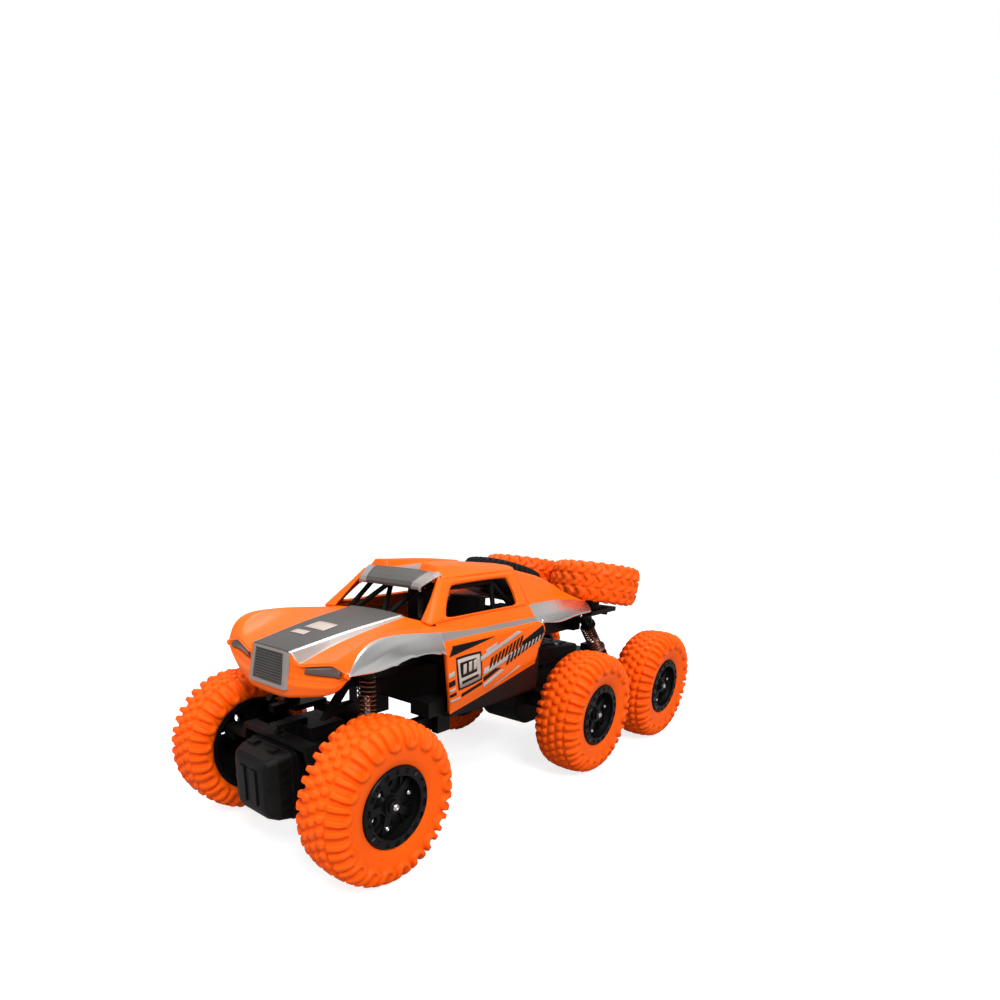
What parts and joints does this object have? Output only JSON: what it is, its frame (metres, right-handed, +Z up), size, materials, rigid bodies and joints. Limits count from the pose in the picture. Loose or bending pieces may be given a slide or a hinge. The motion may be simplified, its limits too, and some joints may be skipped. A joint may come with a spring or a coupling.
{
  "type": "radio-controlled rock crawler truck",
  "caption": "Toy off-road truck with a sprung, steered front axle, a rocking gear-driven rear bogie, big soft tyres, a hollow racing body and spare wheels on the tail.",
  "frame": {"origin": "on the ground under the middle of the truck", "axes": "+Z up, +Y to the truck's rear, +X to the truck's left"},
  "size_m": [0.1396, 0.351, 0.1368],
  "materials": {
    "orange_rubber": "matte",
    "spare_orange": "satin",
    "black_rubber": "matte",
    "black_rim": "satin",
    "steel": "bright",
    "gear_nylon": "satin",
    "pinion_brass": "bright",
    "motor_can": "satin",
    "black_plastic": "satin",
    "rod_steel": "bright",
    "spring_copper": "bright",
    "battery_wrap": "satin",
    "board_green": "satin",
    "shell_orange": "gloss",
    "grey_trim": "satin",
    "lens_smoke": "gloss"
  },
  "bodies": {
    "chassis": {"chassis_frame": "black_plastic", "battery_door": "black_plastic", "battery_cells": "battery_wrap", "circuit_board": "board_green", "cockpit_tub": "black_plastic", "roll_cage": "black_plastic", "body_shell": "shell_orange", "grille_insert": "grey_trim", "sun_visor": "grey_trim", "headlights": "lens_smoke", "spare_tyre_left": "spare_orange", "spare_tyre_right": "spare_orange", "spare_tyre_centre": "black_rubber", "rear_deck": "black_plastic", "body_screws": "steel"},
    "switch": {"power_switch": "black_plastic"},
    "front_arm": {"front_arm": "black_plastic"},
    "front_axle": {"front_housing_front": "black_plastic", "front_housing_rear": "black_plastic", "front_motor": "motor_can", "steering_servo": "black_plastic"},
    "front_pinion": {"front_motor_pinion": "pinion_brass"},
    "front_drive": {"front_drive_gear": "gear_nylon", "front_drive_shaft": "steel"},
    "steering_horn": {"steering_horn": "black_plastic"},
    "tie_rod": {"tie_rod": "black_plastic"},
    "knuckle_left": {"knuckle_left": "black_plastic"},
    "knuckle_right": {"knuckle_right": "black_plastic"},
    "front_wheel_left": {"stub_axle_left": "steel", "rim_front_left": "black_rim", "tyre_front_left": "orange_rubber"},
    "front_wheel_right": {"stub_axle_right": "steel", "rim_front_right": "black_rim", "tyre_front_right": "orange_rubber"},
    "rear_arm": {"rear_arm": "black_plastic"},
    "bogie": {"bogie_case_left": "black_plastic", "bogie_case_right": "black_plastic", "bogie_motor": "motor_can"},
    "bogie_pinion": {"bogie_motor_pinion": "pinion_brass"},
    "middle_axle": {"middle_axle_shaft": "steel", "middle_axle_gear": "gear_nylon", "rim_middle_left": "black_rim", "rim_middle_right": "black_rim", "tyre_middle_left": "orange_rubber", "tyre_middle_right": "orange_rubber"},
    "rear_axle": {"rear_axle_shaft": "steel", "rear_axle_gear": "gear_nylon", "rim_rear_left": "black_rim", "rim_rear_right": "black_rim", "tyre_rear_left": "orange_rubber", "tyre_rear_right": "orange_rubber"},
    "idler_front": {"bogie_idler_front": "gear_nylon"},
    "idler_centre": {"bogie_idler_centre": "gear_nylon"},
    "idler_rear": {"bogie_idler_rear": "gear_nylon"},
    "front_shocks": {"front_shock_bodies": "black_plastic", "front_springs": "spring_copper"},
    "front_shock_rods": {"front_shock_rods": "rod_steel"},
    "rear_shocks": {"rear_shock_bodies": "black_plastic", "rear_springs": "spring_copper"},
    "rear_shock_rods": {"rear_shock_rods": "rod_steel"}
  },
  "joints": [
    {"name": "switch_slide", "type": "slide", "parent": "chassis", "child": "switch", "axis": [1, 0, 0], "range_m": [0, 0.004]},
    {"name": "front_swing", "type": "hinge", "parent": "chassis", "child": "front_arm", "pos_m": [0, -0.066, 0.052], "axis": [-1, 0, 0], "range_deg": [0, 6], "stiffness_Nm_per_rad": 3, "springref_deg": -11.46},
    {"name": "front_roll", "type": "hinge", "parent": "front_arm", "child": "front_axle", "pos_m": [0, -0.116, 0.044], "axis": [0, 1, 0], "range_deg": [-3, 3]},
    {"name": "steer_left", "type": "hinge", "parent": "front_axle", "child": "knuckle_left", "pos_m": [0.042, -0.1365, 0.039], "axis": [0, 0, 1], "range_deg": [-14, 14]},
    {"name": "steer_right", "type": "hinge", "parent": "front_axle", "child": "knuckle_right", "pos_m": [-0.042, -0.1365, 0.039], "axis": [0, 0, 1], "range_deg": [-14, 14]},
    {"name": "tie_rod_slide", "type": "slide", "parent": "front_axle", "child": "tie_rod", "axis": [1, 0, 0], "range_m": [-0.0035, 0.0035]},
    {"name": "horn_turn", "type": "hinge", "parent": "front_axle", "child": "steering_horn", "pos_m": [0, -0.1385, 0.064], "axis": [0, 0, 1], "range_deg": [-16.4, 16.4]},
    {"name": "front_drive_spin", "type": "hinge", "parent": "front_axle", "child": "front_drive", "pos_m": [0, -0.1365, 0.039], "axis": [1, 0, 0], "continuous": true},
    {"name": "front_pinion_spin", "type": "hinge", "parent": "front_axle", "child": "front_pinion", "pos_m": [0.011, -0.1517, 0.039], "axis": [1, 0, 0], "continuous": true},
    {"name": "front_left_spin", "type": "hinge", "parent": "knuckle_left", "child": "front_wheel_left", "pos_m": [0.0558, -0.1365, 0.039], "axis": [1, 0, 0], "continuous": true},
    {"name": "front_right_spin", "type": "hinge", "parent": "knuckle_right", "child": "front_wheel_right", "pos_m": [-0.0558, -0.1365, 0.039], "axis": [1, 0, 0], "continuous": true},
    {"name": "rear_swing", "type": "hinge", "parent": "chassis", "child": "rear_arm", "pos_m": [0, 0.005, 0.054], "axis": [1, 0, 0], "range_deg": [0, 6], "stiffness_Nm_per_rad": 6, "springref_deg": -11.46},
    {"name": "bogie_rock", "type": "hinge", "parent": "rear_arm", "child": "bogie", "pos_m": [0, 0.0895, 0.054], "axis": [1, 0, 0], "range_deg": [-6, 6]},
    {"name": "middle_axle_spin", "type": "hinge", "parent": "bogie", "child": "middle_axle", "pos_m": [0, 0.0425, 0.039], "axis": [1, 0, 0], "continuous": true},
    {"name": "rear_axle_spin", "type": "hinge", "parent": "bogie", "child": "rear_axle", "pos_m": [0, 0.1365, 0.039], "axis": [1, 0, 0], "continuous": true},
    {"name": "idler_front_spin", "type": "hinge", "parent": "bogie", "child": "idler_front", "pos_m": [0, 0.066, 0.039], "axis": [1, 0, 0], "continuous": true},
    {"name": "idler_centre_spin", "type": "hinge", "parent": "bogie", "child": "idler_centre", "pos_m": [0, 0.0895, 0.039], "axis": [1, 0, 0], "continuous": true},
    {"name": "idler_rear_spin", "type": "hinge", "parent": "bogie", "child": "idler_rear", "pos_m": [0, 0.113, 0.039], "axis": [1, 0, 0], "continuous": true},
    {"name": "bogie_pinion_spin", "type": "hinge", "parent": "bogie", "child": "bogie_pinion", "pos_m": [0.007, 0.066, 0.05545], "axis": [1, 0, 0], "continuous": true},
    {"name": "front_shock_tilt", "type": "hinge", "parent": "chassis", "child": "front_shocks", "pos_m": [0, -0.122, 0.096], "axis": [1, 0, 0], "range_deg": [0, 4.19]},
    {"name": "front_shock_stroke", "type": "slide", "parent": "front_shocks", "child": "front_shock_rods", "axis": [0, 0, 1], "range_m": [0, 0.0059], "deforming": ["front_springs"]},
    {"name": "rear_shock_tilt", "type": "hinge", "parent": "chassis", "child": "rear_shocks", "pos_m": [0, 0.0716, 0.0915], "axis": [1, 0, 0], "range_deg": [0, 11.2]},
    {"name": "rear_shock_stroke", "type": "slide", "parent": "rear_shocks", "child": "rear_shock_rods", "axis": [0, -0.6907, 0.7232], "range_m": [0, 0.0077], "deforming": ["rear_springs"]}
  ],
  "couplings": [
    {"joint": "steer_right", "follows": "steer_left", "ratio": 1},
    {"joint": "tie_rod_slide", "follows": "steer_left", "m_per_rad": 0.014},
    {"joint": "horn_turn", "follows": "steer_left", "ratio": 1.1667},
    {"joint": "front_pinion_spin", "follows": "front_drive_spin", "ratio": -2.8},
    {"joint": "front_left_spin", "follows": "front_drive_spin", "ratio": 1},
    {"joint": "front_right_spin", "follows": "front_drive_spin", "ratio": 1},
    {"joint": "rear_axle_spin", "follows": "middle_axle_spin", "ratio": 1},
    {"joint": "idler_front_spin", "follows": "middle_axle_spin", "ratio": -1},
    {"joint": "idler_centre_spin", "follows": "middle_axle_spin", "ratio": 1},
    {"joint": "idler_rear_spin", "follows": "middle_axle_spin", "ratio": -1},
    {"joint": "bogie_pinion_spin", "follows": "middle_axle_spin", "ratio": 2.5},
    {"joint": "front_shock_tilt", "follows": "front_swing", "ratio": 0.6966},
    {"joint": "front_shock_stroke", "follows": "front_swing", "m_per_rad": 0.054549},
    {"joint": "rear_shock_tilt", "follows": "rear_swing", "ratio": 1.8635},
    {"joint": "rear_shock_stroke", "follows": "rear_swing", "m_per_rad": 0.071912}
  ]
}
